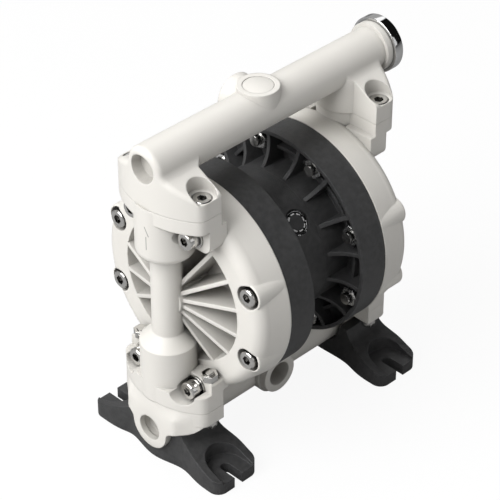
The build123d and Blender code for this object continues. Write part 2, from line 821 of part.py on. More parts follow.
# Centre block between the air covers: shaft bore, air valve bore and the two air ports
with BuildPart() as centre_block:
    with BuildSketch(axial(-block_half_width)):
        Circle(block_radius)
        Circle(shaft_radius + shaft_bore_gap, mode=Mode.SUBTRACT)
    extrude(amount=2 * block_half_width)
    for end in (-1, 1):
        with BuildSketch(axial(end * block_half_width)):
            Circle(bush_radius)
        extrude(amount=-end * bush_length, mode=Mode.SUBTRACT)
        with BuildSketch(axial(end * block_half_width)):
            with PolarLocations(tie_screw_circle, tie_screw_count):
                Circle(tie_screw_diameter / 2 + thread_clearance)
        extrude(amount=-end * tie_screw_grip, mode=Mode.SUBTRACT)
    with BuildSketch(radial(valve_angle, sleeve_start)):
        Circle(sleeve_radius)
    extrude(amount=block_radius - sleeve_start, mode=Mode.SUBTRACT)
    with BuildSketch(radial(valve_angle, plug_seat)):
        Circle(plug_bore_radius)
    extrude(amount=block_radius - plug_seat, mode=Mode.SUBTRACT)
    for port_angle, port_bore, port_length in (
        (inlet_angle, inlet_bore, inlet_depth),
        (exhaust_angle, exhaust_bore, exhaust_depth),
    ):
        with BuildSketch(radial(port_angle, port_face)):
            Circle(port_face_radius)
        extrude(amount=block_radius - port_face + overlap, mode=Mode.SUBTRACT)
        with BuildSketch(radial(port_angle, port_face)):
            Circle(port_bore / 2)
        extrude(amount=-port_length, mode=Mode.SUBTRACT)

# Foot: black moulding cradling the elbow of the suction manifold
with BuildPart() as foot:
    with BuildSketch() as foot_plan:
        with BuildLine():
            Polyline(
                (foot_side_x, foot_straight_y),
                (foot_side_x, foot_half_length),
                (foot_inner_x, foot_half_length),
                (foot_inner_x, foot_straight_y),
            )
            Spline(
                (foot_inner_x, foot_straight_y),
                (foot_inner_waist_x, foot_waist_y),
                (foot_inner_waist_x, 0),
                (foot_inner_waist_x, -foot_waist_y),
                (foot_inner_x, -foot_straight_y),
                tangents=((0, -1), (0, -1)),
            )
            Polyline(
                (foot_inner_x, -foot_straight_y),
                (foot_inner_x, -foot_half_length),
                (foot_side_x, -foot_half_length),
                (foot_side_x, -foot_straight_y),
            )
            Spline(
                (foot_side_x, -foot_straight_y),
                (foot_waist_x, -foot_waist_y),
                (foot_outer_x, 0),
                (foot_waist_x, foot_waist_y),
                (foot_side_x, foot_straight_y),
                tangents=((0, 1), (0, 1)),
            )
        make_face()
        fillet(foot_plan.vertices().filter_by(lambda v: abs(v.Y) > foot_half_length - near), foot_corner)
    extrude(amount=foot_crest_height)
    with BuildSketch(Plane.YZ.offset(foot_inner_x - foot_corner)):
        with BuildLine():
            Polyline(
                (-foot_half_length, foot_end_height),
                (-foot_half_length, 0),
                (foot_half_length, 0),
                (foot_half_length, foot_end_height),
            )
            Spline(
                (foot_half_length, foot_end_height),
                (foot_flank_y, foot_flank_height),
                (foot_crest_y, foot_crest_height),
                tangents=((-1, 0.15), (-0.35, 1)),
            )
            Line((foot_crest_y, foot_crest_height), (-foot_crest_y, foot_crest_height))
            Spline(
                (-foot_crest_y, foot_crest_height),
                (-foot_flank_y, foot_flank_height),
                (-foot_half_length, foot_end_height),
                tangents=((-0.35, -1), (-1, -0.15)),
            )
        make_face()
    extrude(amount=foot_outer_x - foot_inner_x + 2 * foot_corner, mode=Mode.INTERSECT)
    with BuildSketch(Plane.YZ.offset(foot_inner_x - foot_corner)):
        with Locations((0, suction_height)):
            Circle(suction_elbow_radius + foot_saddle_gap)
        Polygon(
            (-suction_elbow_radius - foot_saddle_gap, suction_height),
            (suction_elbow_radius + foot_saddle_gap, suction_height),
            (suction_elbow_radius + elbow_flare + foot_saddle_gap, suction_flange_bottom),
            (-suction_elbow_radius - elbow_flare - foot_saddle_gap, suction_flange_bottom),
            align=None,
        )
    extrude(amount=foot_outer_x - foot_inner_x + 2 * foot_corner, mode=Mode.SUBTRACT)
    for side in (-1, 1):
        with BuildSketch(Plane.XY.offset(foot_pad)):
            with Locations((slot_x, side * (slot_end_y + slot_width / 2))):
                Circle(slot_face_radius)
            with Locations((slot_x, side * foot_half_length)):
                Rectangle(2 * slot_face_radius, 2 * (foot_half_length - slot_end_y - slot_width / 2))
        extrude(amount=foot_crest_height, mode=Mode.SUBTRACT)
        with BuildSketch():
            with Locations((slot_x, side * (slot_end_y + slot_width / 2))):
                Circle(slot_width / 2)
            with Locations((slot_x, side * foot_half_length)):
                Rectangle(slot_width, 2 * (foot_half_length - slot_end_y - slot_width / 2))
        extrude(amount=foot_crest_height, mode=Mode.SUBTRACT)
    with BuildSketch():
        with Locations((foot_screw_x, 0)):
            with GridLocations(foot_screw_spacing, 1, 2, 1):
                Circle(foot_screw_hole / 2)
    extrude(amount=foot_crest_height, mode=Mode.SUBTRACT)
    with BuildSketch():
        with Locations((foot_screw_x, 0)):
            with GridLocations(foot_screw_spacing, 1, 2, 1):
                Circle(foot_screw_head_diameter / 2 + washer_clearance)
    extrude(amount=foot_screw_recess, mode=Mode.SUBTRACT)

# Socket head screws that hold each foot to the suction manifold
with BuildPart() as foot_screws:
    with BuildSketch(Plane.XY.offset(foot_screw_recess - foot_screw_head_height)):
        with Locations((foot_screw_x, 0)):
            with GridLocations(foot_screw_spacing, 1, 2, 1):
                Circle(foot_screw_head_diameter / 2)
                RegularPolygon(tie_socket / 2, 6, major_radius=False, mode=Mode.SUBTRACT)
    extrude(amount=foot_screw_head_height)
    with BuildSketch(Plane.XY.offset(foot_screw_recess - foot_screw_head_height / 2)):
        with Locations((foot_screw_x, 0)):
            with GridLocations(foot_screw_spacing, 1, 2, 1):
                Circle(foot_screw_diameter / 2)
    extrude(amount=elbow_bottom + foot_screw_grip - foot_screw_recess + foot_screw_head_height / 2 - end_gap)

# Socket head bolts round a cover, with the washers under their heads
with BuildPart() as cover_bolts:
    for seat, places in ((face_bolt_seat, face_places()), (lug_bolt_seat, lug_places())):
        head_seat = seat + washer_thickness
        with BuildSketch(axial(cover_bolt_end)):
            with Locations(*places):
                Circle(cover_bolt_diameter / 2)
        extrude(amount=head_seat - cover_bolt_end)
        with BuildSketch(axial(head_seat)):
            with Locations(*places):
                Circle(cap_head_diameter / 2)
        extrude(amount=cap_head_height)
        chamfer(cover_bolts.edges().filter_by(GeomType.CIRCLE).group_by(Axis.X)[-1], cap_head_chamfer)
        with BuildSketch(axial(head_seat + cap_head_height)):
            with Locations(*places):
                RegularPolygon(cap_socket / 2, 6, major_radius=False)
        extrude(amount=-cap_socket_depth, mode=Mode.SUBTRACT)
with BuildPart() as cover_washers:
    for seat, places in ((face_bolt_seat, face_places()), (lug_bolt_seat, lug_places())):
        with BuildSketch(axial(seat)):
            with Locations(*places):
                Circle(washer_diameter / 2)
                Circle(cover_bolt_diameter / 2 + washer_clearance, mode=Mode.SUBTRACT)
        extrude(amount=washer_thickness)

# Nuts and their washers in the pockets of the air cover
with BuildPart() as cover_nut_washers:
    with BuildSketch(axial(nut_seat)):
        with bolt_places():
            Circle(nut_washer_diameter / 2)
            Circle(cover_bolt_diameter / 2 + washer_clearance, mode=Mode.SUBTRACT)
    extrude(amount=washer_thickness)
with BuildPart() as cover_nuts:
    with BuildSketch(axial(nut_seat - nut_height)):
        with bolt_places():
            RegularPolygon(nut_width / 2, 6, major_radius=False, rotation=30)
            Circle(cover_bolt_diameter / 2 + thread_clearance, mode=Mode.SUBTRACT)
    extrude(amount=nut_height)

# Vertical bolts of the two manifolds
with BuildPart() as discharge_flange_bolts:
    with BuildSketch(Plane.XY.offset(upper_bolt_end + end_gap)):
        with Locations(*upper_bolt_places):
            Circle(cover_bolt_diameter / 2)
    extrude(amount=upper_head_seat - upper_bolt_end - end_gap)
    with BuildSketch(Plane.XY.offset(upper_head_seat)):
        with Locations(*upper_bolt_places):
            Circle(cap_head_diameter / 2)
    extrude(amount=cap_head_height)
    chamfer(
        discharge_flange_bolts.edges().filter_by(GeomType.CIRCLE).group_by(Axis.Z)[-1],
        cap_head_chamfer,
    )
    with BuildSketch(Plane.XY.offset(upper_head_seat + cap_head_height)):
        with Locations(*upper_bolt_places):
            RegularPolygon(cap_socket / 2, 6, major_radius=False)
    extrude(amount=-cap_socket_depth, mode=Mode.SUBTRACT)
with BuildPart() as suction_flange_bolts:
    with BuildSketch(Plane.XY.offset(suction_flange_bottom - lower_head_height)):
        with Locations(*lower_bolt_places):
            Circle(lower_head_diameter / 2)
    extrude(amount=lower_head_height)
    with BuildSketch(Plane.XY.offset(suction_flange_bottom)):
        with Locations(*lower_bolt_places):
            Circle(lower_bolt_diameter / 2)
    extrude(amount=lower_nut_seat + lower_nut_height + lower_thread_end - suction_flange_bottom)
    with BuildSketch(Plane.XY.offset(suction_flange_bottom - lower_head_height)):
        with Locations(*lower_bolt_places):
            RegularPolygon(lower_head_socket / 2, 6, major_radius=False)
    extrude(amount=lower_head_height / 2, mode=Mode.SUBTRACT)
with BuildPart() as suction_flange_nuts:
    with BuildSketch(Plane.XY.offset(lower_nut_seat)):
        with Locations(*lower_bolt_places):
            RegularPolygon(lower_nut_width / 2, 6, major_radius=False)
            Circle(lower_bolt_diameter / 2 + thread_clearance, mode=Mode.SUBTRACT)
    extrude(amount=lower_nut_height)

# Screws that hold the air covers to the centre block
with BuildPart() as tie_screws:
    with BuildSketch(axial(block_half_width - tie_screw_grip + end_gap)):
        with PolarLocations(tie_screw_circle, tie_screw_count):
            Circle(tie_screw_diameter / 2)
    extrude(amount=air_chamber_x - block_half_width + tie_screw_grip - end_gap)
    with BuildSketch(axial(air_chamber_x)):
        with PolarLocations(tie_screw_circle, tie_screw_count):
            Circle(tie_head_diameter / 2)
    extrude(amount=tie_head_height)
    with BuildSketch(axial(air_chamber_x + tie_head_height)):
        with PolarLocations(tie_screw_circle, tie_screw_count):
            RegularPolygon(tie_socket / 2, 6, major_radius=False)
    extrude(amount=-tie_head_height / 2, mode=Mode.SUBTRACT)

# Diaphragm, moulded with its rim bead and its slope toward the centre
diaphragm_half = diaphragm_thickness / 2
with BuildPart() as diaphragm:
    with BuildSketch(axial_plane):
        Polygon(
            (diaphragm_centre_x - diaphragm_half, stud_radius + thread_clearance),
            (diaphragm_centre_x - diaphragm_half, plate_radius + 2 * diaphragm_half),
            (cover_seam - diaphragm_half, chamber_radius - diaphragm_half),
            (cover_seam - diaphragm_half, diaphragm_rim_radius),
            (cover_seam + diaphragm_half, diaphragm_rim_radius),
            (cover_seam + diaphragm_half, chamber_radius - 2 * diaphragm_half),
            (diaphragm_centre_x + diaphragm_half, plate_radius + diaphragm_half),
            (diaphragm_centre_x + diaphragm_half, stud_radius + thread_clearance),
            align=None,
        )
    revolve(axis=shaft_axis)

# Plates on both faces of a diaphragm
with BuildPart() as air_plate:
    with BuildSketch(axial(shaft_shoulder_x)):
        Circle(plate_radius)
        Circle(stud_radius + thread_clearance, mode=Mode.SUBTRACT)
    extrude(amount=air_plate_thickness)
    fillet(
        air_plate.edges().filter_by(GeomType.CIRCLE).group_by(SortBy.RADIUS)[-1],
        plate_edge_round,
    )
fluid_plate_x = diaphragm_centre_x + diaphragm_half
with BuildPart() as fluid_plate:
    with BuildSketch(axial(fluid_plate_x)):
        Circle(plate_radius)
    extrude(amount=fluid_plate_thickness)
    with BuildSketch(axial(fluid_plate_x + fluid_plate_thickness)):
        Circle(fluid_plate_hub_radius)
    extrude(amount=fluid_plate_hub_height)
    fillet(fluid_plate.edges().group_by(Axis.X)[-1], fluid_plate_hub_height / 2)
    fillet(
        fluid_plate.edges().filter_by(GeomType.CIRCLE).group_by(SortBy.RADIUS)[-1],
        plate_edge_round,
    )
    with BuildSketch(axial(fluid_plate_x)):
        Circle(stud_radius + thread_clearance)
    extrude(amount=shaft_shoulder_x + stud_length - fluid_plate_x + end_gap, mode=Mode.SUBTRACT)

# Shaft through the centre block, with a stud at each end
with BuildPart() as shaft:
    with BuildSketch(axial(-shaft_shoulder_x)):
        Circle(shaft_radius)
    extrude(amount=2 * shaft_shoulder_x)
    with BuildSketch(axial(-shaft_shoulder_x - stud_length)):
        Circle(stud_radius)
    extrude(amount=2 * (shaft_shoulder_x + stud_length))
with BuildPart() as shaft_bush:
    with BuildSketch(axial(block_half_width - bush_length)):
        Circle(bush_radius)
        Circle(shaft_radius + running_clearance, mode=Mode.SUBTRACT)
    extrude(amount=bush_length)
with BuildPart() as shaft_seal:
    with BuildSketch(axial(block_half_width)):
        Circle(shaft_seal_radius)
        Circle(shaft_radius + running_clearance, mode=Mode.SUBTRACT)
    extrude(amount=shaft_seal_length)

# Ball valves: seat, seal ring under the seat, ball, and the cage above the upper seat
with BuildPart() as suction_seat:
    with BuildSketch(Plane.XY.offset(lower_seam)):
        with Locations((column_x, 0)):
            Circle(seat_pocket_radius - seat_fit)
            Circle(tube_bore, mode=Mode.SUBTRACT)
    extrude(amount=seat_thickness)
    with BuildSketch(Plane.XY.offset(lower_seam)):
        with Locations((column_x, 0)):
            Circle(seal_outer_radius)
            Circle(seal_inner_radius, mode=Mode.SUBTRACT)
    extrude(amount=seal_thickness, mode=Mode.SUBTRACT)
with BuildPart() as suction_seat_seal:
    with BuildSketch(Plane.XY.offset(lower_seam)):
        with Locations((column_x, 0)):
            Circle(seal_outer_radius - seat_clearance)
            Circle(seal_inner_radius + seat_clearance, mode=Mode.SUBTRACT)
    extrude(amount=seal_thickness)
with BuildPart() as suction_ball:
    with BuildSketch(column_plane):
        with Locations((0, suction_ball_height)):
            Circle(ball_radius)
        with Locations((-ball_radius, suction_ball_height)):
            Rectangle(2 * ball_radius, 2 * ball_radius, mode=Mode.SUBTRACT)
    revolve(axis=column_axis)
with BuildPart() as discharge_cage:
    with BuildSketch(Plane.XY.offset(discharge_seat_top)):
        with Locations((column_x, 0)):
            Circle(seat_pocket_radius - seat_fit)
            Circle(tube_bore, mode=Mode.SUBTRACT)
            with PolarLocations(cage_channel_circle, cage_channels, start_angle=45):
                Circle(cage_channel_radius, mode=Mode.SUBTRACT)
    extrude(amount=upper_seam - discharge_seat_top)
    with BuildSketch(Plane.XY.offset(discharge_seat_top)):
        with Locations((column_x, 0)):
            Circle(cage_radius)
    extrude(amount=cage_height, mode=Mode.SUBTRACT)

# Air valve in the centre block: sleeve, sliding spool, plug with its seal, retaining ring
with BuildPart() as valve_sleeve:
    with BuildSketch(radial(valve_angle, sleeve_start)):
        Circle(sleeve_radius)
        Circle(spool_radius + running_clearance, mode=Mode.SUBTRACT)
    extrude(amount=sleeve_length)
with BuildPart() as valve_spool:
    with BuildSketch(radial(valve_angle, spool_start)):
        Circle(spool_waist)
    extrude(amount=spool_length)
    for land in range(3):
        with BuildSketch(radial(valve_angle, spool_start + land * (spool_length - spool_land) / 2)):
            Circle(spool_radius)
        extrude(amount=spool_land)
with BuildPart() as valve_plug:
    with BuildSketch(radial(valve_angle, plug_seat)):
        Circle(plug_bore_radius - running_clearance)
    extrude(amount=plug_thickness)
    with BuildSketch(radial(valve_angle, plug_seat + plug_thickness)):
        Circle(plug_crown_radius)
    extrude(amount=plug_crown_height)
    with BuildSketch(radial(valve_angle, plug_seat + (plug_thickness - plug_groove_width) / 2)):
        Circle(plug_bore_radius)
        Circle(plug_groove_radius, mode=Mode.SUBTRACT)
    extrude(amount=plug_groove_width, mode=Mode.SUBTRACT)
with BuildPart() as plug_seal:
    with BuildSketch(radial(valve_angle, plug_seat + (plug_thickness - plug_groove_width) / 2)):
        Circle(plug_bore_radius - running_clearance / 2)
        Circle(plug_groove_radius + running_clearance, mode=Mode.SUBTRACT)
    extrude(amount=plug_groove_width)
with BuildPart() as retaining_ring:
    with BuildSketch(radial(valve_angle, plug_seat + plug_thickness)):
        Circle(plug_bore_radius - running_clearance)
        Circle(plug_bore_radius - retaining_ring_wall, mode=Mode.SUBTRACT)
        with Locations((plug_bore_radius, 0)):
            Rectangle(4 * retaining_ring_wall, retaining_ring_gap, mode=Mode.SUBTRACT)
    extrude(amount=retaining_ring_thickness)

# Muffler of the exhaust port, on the side away from the suction port
with BuildPart() as muffler:
    with BuildSketch(radial(exhaust_angle, port_face - muffler_spigot)):
        Circle(exhaust_bore / 2 - thread_clearance)
    extrude(amount=muffler_spigot)
    with BuildSketch(radial(exhaust_angle, port_face)):
        RegularPolygon(muffler_hex / 2, 6, major_radius=False)
    extrude(amount=muffler_hex_length)
    with BuildSketch(radial(exhaust_angle, port_face + muffler_hex_length)):
        Circle(muffler_radius)
    extrude(amount=muffler_length)
    fillet(muffler.faces().sort_by(Axis.Y)[-1].edges(), muffler_radius / 3)

save_pair(air_cover.part, "air_cover")
save(centre_block.part, "centre_block")
save_pair(foot.part, "foot")
save_pair(foot_screws.part, "foot_screws")
save_pair(cover_bolts.part, "cover_bolts")
save_pair(cover_washers.part, "cover_bolt_washers")
save_pair(cover_nuts.part, "cover_nuts")
save_pair(cover_nut_washers.part, "cover_nut_washers")
save(discharge_flange_bolts.part, "discharge_flange_bolts")
save(suction_flange_bolts.part, "suction_flange_bolts")
save(suction_flange_nuts.part, "suction_flange_nuts")
save_pair(tie_screws.part, "tie_screws")
save_pair(diaphragm.part, "diaphragm")
save_pair(air_plate.part, "air_side_plate")
save_pair(fluid_plate.part, "fluid_side_plate")
save(shaft.part, "diaphragm_shaft")
save_pair(shaft_bush.part, "shaft_bush")
save_pair(shaft_seal.part, "shaft_seal")
seat_rise = Location((0, 0, discharge_seat_bottom - lower_seam))
save_pair(suction_seat.part, "suction_seat")
save_pair(seat_rise * suction_seat.part, "discharge_seat")
save_pair(suction_seat_seal.part, "suction_seat_seal")
save_pair(seat_rise * suction_seat_seal.part, "discharge_seat_seal")
save_pair(suction_ball.part, "suction_ball")
save_pair(seat_rise * suction_ball.part, "discharge_ball")
save_pair(discharge_cage.part, "discharge_cage")
save(valve_sleeve.part, "valve_sleeve")
save(valve_spool.part, "valve_spool")
save(valve_plug.part, "valve_plug")
save(plug_seal.part, "valve_plug_seal")
save(retaining_ring.part, "valve_retaining_ring")
save(muffler.part, "muffler")
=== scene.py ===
import math

import bmesh
import bpy
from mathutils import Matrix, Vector


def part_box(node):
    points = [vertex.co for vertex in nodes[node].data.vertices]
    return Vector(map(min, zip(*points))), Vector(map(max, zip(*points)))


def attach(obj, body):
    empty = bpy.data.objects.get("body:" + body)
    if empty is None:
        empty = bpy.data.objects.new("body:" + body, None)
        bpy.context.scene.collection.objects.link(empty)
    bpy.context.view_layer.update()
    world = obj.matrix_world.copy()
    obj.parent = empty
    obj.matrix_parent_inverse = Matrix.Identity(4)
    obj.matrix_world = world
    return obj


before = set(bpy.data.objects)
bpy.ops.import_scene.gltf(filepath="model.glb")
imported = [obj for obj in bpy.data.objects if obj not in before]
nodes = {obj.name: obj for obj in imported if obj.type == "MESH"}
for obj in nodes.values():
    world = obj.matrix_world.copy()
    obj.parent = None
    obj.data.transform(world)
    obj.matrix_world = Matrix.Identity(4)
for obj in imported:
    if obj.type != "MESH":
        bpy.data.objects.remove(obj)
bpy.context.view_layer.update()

# White moulded body: both manifolds and both fluid covers are injection moulded
# polypropylene, slightly warm, satin, with soft edges and a very fine skin texture.
WHITE, WHITE_SHADE = (0.86, 0.835, 0.785, 1.0), (0.84, 0.815, 0.765, 1.0)


def mask_group(name, inputs, outputs):
    """An empty node group with float sockets; gives it and its exit."""
    group = bpy.data.node_groups.new(name, "ShaderNodeTree")
    for socket_name, default in inputs:
        socket = group.interface.new_socket(socket_name, in_out="INPUT",
                                            socket_type="NodeSocketFloat")
        socket.default_value = default
    for socket_name in outputs:
        group.interface.new_socket(socket_name, in_out="OUTPUT", socket_type="NodeSocketFloat")
    return group, group.nodes.new("NodeGroupOutput")


def skin_group():
    """Fine moulding skin: a height for the bump and a slow mottling of the colour."""
    group, leave = mask_group("moulded_skin", (("Grain", 900.0), ("Mottle", 18.0)),
                              ("Height", "Shade"))
    entry = group.nodes.new("NodeGroupInput")
    place = group.nodes.new("ShaderNodeTexCoord")
    for size, result, detail, roughness in (("Grain", "Height", 3.0, 0.6),
                                            ("Mottle", "Shade", 4.0, 0.5)):
        noise = group.nodes.new("ShaderNodeTexNoise")
        noise.inputs["Detail"].default_value = detail
        noise.inputs["Roughness"].default_value = roughness
        group.links.new(place.outputs["Object"], noise.inputs["Vector"])
        group.links.new(entry.outputs[size], noise.inputs["Scale"])
        group.links.new(noise.outputs["Fac"], leave.inputs[result])
    return group


# Painted shade: an occlusion mask that darkens colour in recesses and sockets, where shade falls.
def painted_shade_group():
    """How open the surface lies, as a mask for painted shade: 1 on open ground, down to Lowest in a
    recess or socket.
    """
    group, leave = mask_group(
        "painted_hollow_shade", (("Reach", 0.02), ("Closed", 0.0), ("Open", 1.0), ("Lowest", 0.45)),
        ("Shade",))
    entry = group.nodes.new("NodeGroupInput")
    cover = group.nodes.new("ShaderNodeAmbientOcclusion")
    cover.samples = 8
    depth = group.nodes.new("ShaderNodeMapRange")
    group.links.new(entry.outputs["Reach"], cover.inputs["Distance"])
    group.links.new(cover.outputs["AO"], depth.inputs["Value"])
    group.links.new(entry.outputs["Closed"], depth.inputs["From Min"])
    group.links.new(entry.outputs["Open"], depth.inputs["From Max"])
    group.links.new(entry.outputs["Lowest"], depth.inputs["To Min"])
    group.links.new(depth.outputs["Result"], leave.inputs["Shade"])
    return group


MOULDED_SKIN = skin_group()
PAINTED_HOLLOW_SHADE = painted_shade_group()


def place_group(tree, group, **values):
    """A group in a material, with its own values."""
    placed = tree.nodes.new("ShaderNodeGroup")
    placed.node_tree = group
    for name, value in values.items():
        placed.inputs[name].default_value = value
    return placed


def tone_ramp(tree, fac, dark, light, dark_end, light_end):
    """Mottles two close tones together by a mask; gives the colour."""
    tones = tree.nodes.new("ShaderNodeValToRGB")
    first, last = tones.color_ramp.elements
    first.position, first.color = dark_end, dark
    last.position, last.color = light_end, light
    tree.links.new(fac, tones.inputs["Fac"])
    return tones.outputs["Color"]


def vary_gloss(tree, fac, roughness, spread):
    """Roughness that wanders a little round its mean with a mask."""
    gloss = tree.nodes.new("ShaderNodeMapRange")
    gloss.inputs["To Min"].default_value = roughness - spread
    gloss.inputs["To Max"].default_value = roughness + spread
    tree.links.new(fac, gloss.inputs["Value"])
    tree.links.new(gloss.outputs["Result"], tree.nodes["Principled BSDF"].inputs["Roughness"])


def paint_hollow_shade(tree, colour, **shade):
    """The colour made darker in recesses and sockets: painted shade."""
    depth = place_group(tree, PAINTED_HOLLOW_SHADE, **shade)
    deepen = tree.nodes.new("ShaderNodeMix")
    deepen.data_type = "RGBA"
    deepen.blend_type = "MULTIPLY"
    deepen.inputs["Factor"].default_value = 1.0
    tree.links.new(colour, deepen.inputs["A"])
    tree.links.new(depth.outputs["Shade"], deepen.inputs["B"])
    return deepen.outputs["Result"]


def plastic(name, light, dark, roughness, spread, grain, grain_depth, mottle=18.0,
            round_edge=0.0, hollow=0.0):
    """A moulded plastic: two close colours mottled together, with the skin as bump; hollow sets how
    much painted shade darkens its recesses.
    """
    material = bpy.data.materials.new(name)
    material.use_nodes = True
    tree = material.node_tree
    shader = tree.nodes["Principled BSDF"]
    skin = place_group(tree, MOULDED_SKIN, Grain=grain, Mottle=mottle)
    colour = tone_ramp(tree, skin.outputs["Shade"], dark, light, 0.35, 0.65)
    # Painted shade: the colour darkened in recesses by occlusion.
    if hollow:
        colour = paint_hollow_shade(tree, colour, Reach=0.02, Lowest=1.0 - hollow)
    tree.links.new(colour, shader.inputs["Base Color"])
    vary_gloss(tree, skin.outputs["Shade"], roughness, spread)
    bump = tree.nodes.new("ShaderNodeBump")
    bump.inputs["Strength"].default_value = 1.0
    bump.inputs["Distance"].default_value = grain_depth
    tree.links.new(skin.outputs["Height"], bump.inputs["Height"])
    tree.links.new(bump.outputs["Normal"], shader.inputs["Normal"])
    if round_edge:
        soft = tree.nodes.new("ShaderNodeBevel")
        soft.samples = 8
        soft.inputs["Radius"].default_value = round_edge
        tree.links.new(soft.outputs["Normal"], bump.inputs["Normal"])
    return material


def white_plastic(name):
    """The finish of all white mouldings, with edges rounded by about 1.3 mm and painted shade that
    darkens recesses to 45 percent.
    """
    return plastic(name, WHITE, WHITE_SHADE, 0.42, 0.05, 1400.0, 0.00002,
                   round_edge=0.0013, hollow=0.55)


def dress(names, material, edge=0.0, segments=3):
    """Gives CAD nodes their material, and an edge radius where the real piece has one."""
    for name in names:
        piece = nodes[name]
        piece.data.materials.clear()
        piece.data.materials.append(material)
        if edge:
            weld = piece.modifiers.new("weld", "WELD")
            weld.merge_threshold = 0.00001
            soften = piece.modifiers.new("edge", "BEVEL")
            soften.width = edge
            soften.segments = segments
            soften.limit_method = "ANGLE"
            soften.angle_limit = math.radians(32.0)
            soften.use_clamp_overlap = True
            soften.harden_normals = True


def starting(*prefixes):
    """The CAD nodes whose names start with one of these."""
    return [name for name in sorted(nodes) if name.startswith(prefixes)]


white_moulding = white_plastic("white_moulding")
dress(starting("discharge_manifold", "suction_manifold"), white_moulding)

# Fluid covers: the same white moulding. The collar of each column has a flow arrow engraved in it,
# on the side turned away from the pump; the shade in its groove is painted as a dark line, with no
# relief. The arrow is a long stem and one barb.
COLUMN_X, COLLAR_RADIUS, COLLAR_DEPTH = 0.0853, 0.0205, 0.0006
STEM_START, STEM_END = (-0.0034, 0.180), (-0.0034, 0.1905)
BARB_START, BARB_END, ARROW_WIDTH = (-0.0055, 0.191), (-0.0023, 0.198), 0.0007
ARROW_SHADE_TONE, ARROW_STRENGTH = (0.20, 0.195, 0.185, 1.0), 0.8


def result_of(tree, operation, first, second=0.0):
    """One math node of a tree, fed by sockets or numbers; gives its result."""
    step = tree.nodes.new("ShaderNodeMath")
    step.operation = operation
    for socket, value in zip(step.inputs, (first, second)):
        if isinstance(value, bpy.types.NodeSocket):
            tree.links.new(value, socket)
        else:
            socket.default_value = value
    return step.outputs[0]


def distance_of(tree, first, second):
    """Length of the hypotenuse over two sockets."""
    return result_of(tree, "SQRT", result_of(tree, "ADD", result_of(tree, "MULTIPLY", first, first),
                                             result_of(tree, "MULTIPLY", second, second)))


def object_axes(group):
    """X, Y and Z of the surface, in the row frame."""
    place = group.nodes.new("ShaderNodeTexCoord")
    split = group.nodes.new("ShaderNodeSeparateXYZ")
    group.links.new(place.outputs["Object"], split.inputs[0])
    return split.outputs


def bar_distance(tree, across, along, start, end, width):
    """Distance outside a straight bar drawn on the unrolled collar, from start to end."""
    lean = math.atan2(end[0] - start[0], end[1] - start[1])
    right = result_of(tree, "SUBTRACT", across, (start[0] + end[0]) / 2)
    rise = result_of(tree, "SUBTRACT", along, (start[1] + end[1]) / 2)
    aside = result_of(tree, "SUBTRACT", result_of(tree, "MULTIPLY", right, math.cos(lean)),
                      result_of(tree, "MULTIPLY", rise, math.sin(lean)))
    ahead = result_of(tree, "ADD", result_of(tree, "MULTIPLY", right, math.sin(lean)),
                      result_of(tree, "MULTIPLY", rise, math.cos(lean)))
    beyond_side = result_of(tree, "SUBTRACT", result_of(tree, "ABSOLUTE", aside), width / 2)
    beyond_end = result_of(tree, "SUBTRACT", result_of(tree, "ABSOLUTE", ahead),
                           math.dist(start, end) / 2)
    return result_of(tree, "MAXIMUM", beyond_side, beyond_end)


def arrow_group():
    """Mask of the flow arrow on the outer side of a column collar, where the shade of its engraved
    groove is painted.
    """
    group, leave = mask_group("flow_arrow", (), ("Groove Shade",))
    axes = object_axes(group)
    outward = result_of(group, "SUBTRACT", result_of(group, "ABSOLUTE", axes["X"]), COLUMN_X)
    turn = result_of(group, "ARCTAN2", axes["Y"], outward)
    across = result_of(group, "MULTIPLY", turn, COLLAR_RADIUS)
    stem = bar_distance(group, across, axes["Z"], STEM_START, STEM_END, ARROW_WIDTH)
    barb = bar_distance(group, across, axes["Z"], BARB_START, BARB_END, ARROW_WIDTH)
    reach = distance_of(group, outward, axes["Y"])
    off_wall = result_of(group, "ABSOLUTE", result_of(group, "SUBTRACT", reach, COLLAR_RADIUS))
    off_collar = result_of(group, "SUBTRACT", off_wall, COLLAR_DEPTH)
    outside = result_of(group, "MAXIMUM", result_of(group, "MINIMUM", stem, barb), off_collar)
    fade = group.nodes.new("ShaderNodeMapRange")
    fade.inputs["From Min"].default_value = 0.0001
    fade.inputs["From Max"].default_value = -0.0002
    group.links.new(outside, fade.inputs["Value"])
    group.links.new(fade.outputs["Result"], leave.inputs["Groove Shade"])
    return group


def paint_over(tree, mask, colour):
    """Lays a colour over a material's base colour where the mask is 1."""
    base = tree.nodes["Principled BSDF"].inputs["Base Color"]
    layer = tree.nodes.new("ShaderNodeMix")
    layer.data_type = "RGBA"
    layer.inputs["B"].default_value = colour
    tree.links.new(base.links[0].from_socket, layer.inputs["A"])
    tree.links.new(mask, layer.inputs["Factor"])
    tree.links.new(layer.outputs["Result"], base)


arrow_shade_moulding = white_plastic("arrow_shade_moulding")
tree = arrow_shade_moulding.node_tree
# Painted shade of the arrow's groove: a dark line laid over the white, with no relief.
groove_shade = place_group(tree, arrow_group()).outputs["Groove Shade"]
paint_over(tree, result_of(tree, "MULTIPLY", groove_shade, ARROW_STRENGTH), ARROW_SHADE_TONE)
dress(starting("fluid_cover"), arrow_shade_moulding)

# Blind cap of the boss on top of the discharge manifold: a white disc that fills the recess
# to just under its rim, with a fine gap round it and a small round on its edge.
CAP_RADIUS, CAP_THICKNESS, CAP_SUNK, CAP_EDGE = 0.0106, 0.0050, 0.0009, 0.0003


